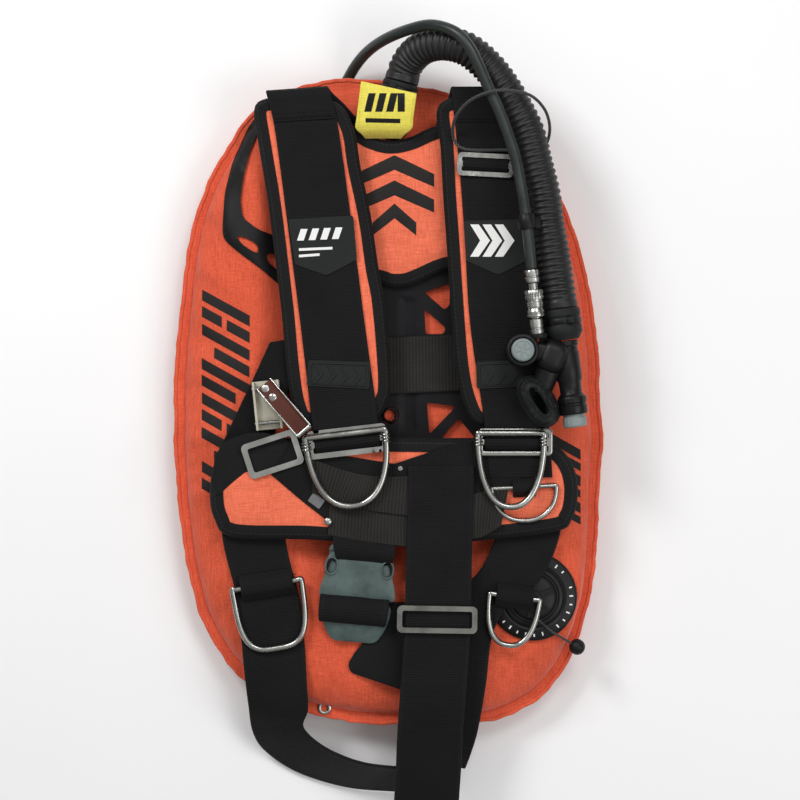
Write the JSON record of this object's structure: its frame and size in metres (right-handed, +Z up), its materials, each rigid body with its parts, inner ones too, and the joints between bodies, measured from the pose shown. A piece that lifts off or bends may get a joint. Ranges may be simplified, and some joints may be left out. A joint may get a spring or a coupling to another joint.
{
  "type": "buoyancy compensator vest",
  "caption": "Back-inflate buoyancy vest: fabric wing on a backplate, padded webbing harness, power inflator hose, dump valve and steel rings.",
  "frame": {"origin": "on the floor under the middle of the vest lying on its back, measured without the hoses", "axes": "+Z up through the front of the vest, +Y towards the diver's head, +X towards the diver's left"},
  "size_m": [0.34, 0.6067, 0.1051],
  "materials": {
    "orange_cordura": "matt woven nylon",
    "orange_padding": "matt woven nylon over foam, black binding",
    "bladder_film": "satin film",
    "yoke_plastic": "moulded, satin",
    "yellow_tab": "woven, black print",
    "black_webbing": "ribbed nylon webbing",
    "black_plastic": "satin moulding",
    "black_rubber": "matt",
    "lp_rubber": "smooth satin",
    "bungee": "braided sheath",
    "plate_black": "black anodised, satin",
    "grey_buttons": "satin grey",
    "buckle_plastic": "satin dark green-grey",
    "polished_steel": "polished stainless steel"
  },
  "bodies": {
    "harness": {"wing_front_shell": "orange_cordura", "wing_back_shell": "orange_cordura", "wing_bladder": "bladder_film", "yoke_panel_left": "yoke_plastic", "yoke_panel_right": "yoke_plastic", "label_tab": "yellow_tab", "elbow": "black_plastic", "hose_cuff_upper": "black_rubber", "corrugated_hose": "black_rubber", "hose_cuff_lower": "black_rubber", "inflator_body": "black_plastic", "mouthpiece": "black_rubber", "qd_nipple": "polished_steel", "qd_stem": "polished_steel", "lp_hose": "lp_rubber", "lp_fitting": "polished_steel", "hose_keeper": "black_plastic", "bungee_loop": "bungee", "upper_slide": "polished_steel", "backplate": "plate_black", "back_pad": "orange_padding", "plate_screw_upper": "polished_steel", "plate_screw_lower": "polished_steel", "plate_webbing": "black_webbing", "lumbar_pad": "orange_padding", "tank_pad": "black_rubber", "tank_band_upper": "black_webbing", "tank_band_lower": "black_webbing", "cam_buckle_upper": "black_plastic", "cam_buckle_lower": "black_plastic", "shoulder_pad_left": "orange_padding", "shoulder_pad_right": "orange_padding", "shoulder_webbing_left": "black_webbing", "shoulder_webbing_right": "black_webbing", "triglide_left": "polished_steel", "triglide_right": "polished_steel", "waist_belt_left": "black_webbing", "waist_belt_right": "black_webbing", "hip_strap_left": "black_webbing", "belt_wrap": "black_webbing", "waist_buckle_frame": "polished_steel", "square_slide": "polished_steel", "side_release_female": "buckle_plastic", "crotch_strap": "black_webbing", "dump_valve_body": "black_plastic"},
    "inflate_button": {"inflate_button": "grey_buttons"},
    "deflate_button": {"deflate_button": "grey_buttons"},
    "qd_sleeve": {"qd_sleeve": "polished_steel"},
    "dump_pull_ball": {"dump_pull_ball": "black_plastic"},
    "dump_poppet": {"dump_poppet": "black_rubber"},
    "d_ring_left": {"d_ring_left": "polished_steel"},
    "d_ring_right": {"d_ring_right": "polished_steel"},
    "hip_ring_left": {"hip_ring_left": "polished_steel"},
    "hip_ring_right": {"hip_ring_right": "polished_steel"},
    "bail_ring": {"bail_ring": "polished_steel"},
    "waist_buckle_lever": {"waist_buckle_lever": "polished_steel"},
    "side_release_male": {"side_release_male": "buckle_plastic"},
    "crotch_triglide": {"crotch_triglide": "polished_steel"},
    "cam_lever_upper": {"cam_lever_upper": "black_plastic"},
    "cam_lever_lower": {"cam_lever_lower": "black_plastic"}
  },
  "joints": [
    {"name": "inflate_button_press", "type": "slide", "parent": "harness", "child": "inflate_button", "axis": [0, 0, -1], "range_m": [0, 0.0035], "stiffness_N_per_m": 400, "springref_m": -0.002},
    {"name": "deflate_button_press", "type": "slide", "parent": "harness", "child": "deflate_button", "axis": [-0.124, 0.9923, 0], "range_m": [0, 0.004], "stiffness_N_per_m": 400, "springref_m": -0.002},
    {"name": "qd_sleeve_slide", "type": "slide", "parent": "harness", "child": "qd_sleeve", "axis": [-0.0993, 0.9931, 0.0621], "range_m": [0, 0.004], "stiffness_N_per_m": 600, "springref_m": -0.002},
    {"name": "dump_pull", "type": "slide", "parent": "harness", "child": "dump_pull_ball", "axis": [0.7864, -0.4987, -0.3644], "range_m": [0, 0.012], "stiffness_N_per_m": 150, "springref_m": -0.004},
    {"name": "dump_poppet_lift", "type": "slide", "parent": "harness", "child": "dump_poppet", "axis": [0, 0, 1], "range_m": [0, 0.0015]},
    {"name": "d_ring_left_swing", "type": "hinge", "parent": "harness", "child": "d_ring_left", "pos_m": [-0.032, 0.0022, 0.0678], "axis": [-0.9934, -0.1149, 0], "range_deg": [0, 75]},
    {"name": "d_ring_right_swing", "type": "hinge", "parent": "harness", "child": "d_ring_right", "pos_m": [0.096, 0.0027, 0.0678], "axis": [-1, 0, 0], "range_deg": [0, 80]},
    {"name": "hip_ring_left_swing", "type": "hinge", "parent": "harness", "child": "hip_ring_left", "pos_m": [-0.0935, -0.1158, 0.0512], "axis": [-0.9877, -0.1564, 0], "range_deg": [0, 120]},
    {"name": "hip_ring_right_swing", "type": "hinge", "parent": "harness", "child": "hip_ring_right", "pos_m": [0.0995, -0.1248, 0.0556], "axis": [-0.9903, 0.1392, 0], "range_deg": [0, 120]},
    {"name": "bail_ring_swing", "type": "hinge", "parent": "harness", "child": "bail_ring", "pos_m": [0.1065, -0.0393, 0.0609], "axis": [-0.9986, -0.0523, 0], "range_deg": [0, 10]},
    {"name": "waist_lever_swing", "type": "hinge", "parent": "harness", "child": "waist_buckle_lever", "pos_m": [-0.0945, 0.0402, 0.065], "axis": [-0.755, -0.6557, 0], "range_deg": [0, 90]},
    {"name": "side_release_pull", "type": "slide", "parent": "harness", "child": "side_release_male", "axis": [-0.0872, -0.9962, 0], "range_m": [0, 0.036]},
    {"name": "crotch_triglide_slide", "type": "slide", "parent": "harness", "child": "crotch_triglide", "axis": [0, 1, 0], "range_m": [-0.03, 0.03]},
    {"name": "cam_lever_upper_open", "type": "hinge", "parent": "harness", "child": "cam_lever_upper", "pos_m": [-0.0195, 0.1912, 0.0049], "axis": [0, 1, 0], "range_deg": [0, 110]},
    {"name": "cam_lever_lower_open", "type": "hinge", "parent": "harness", "child": "cam_lever_lower", "pos_m": [-0.0195, 0.0212, 0.0049], "axis": [0, 1, 0], "range_deg": [0, 110]}
  ],
  "couplings": [
    {"joint": "dump_poppet_lift", "follows": "dump_pull", "ratio": 0.125}
  ]
}
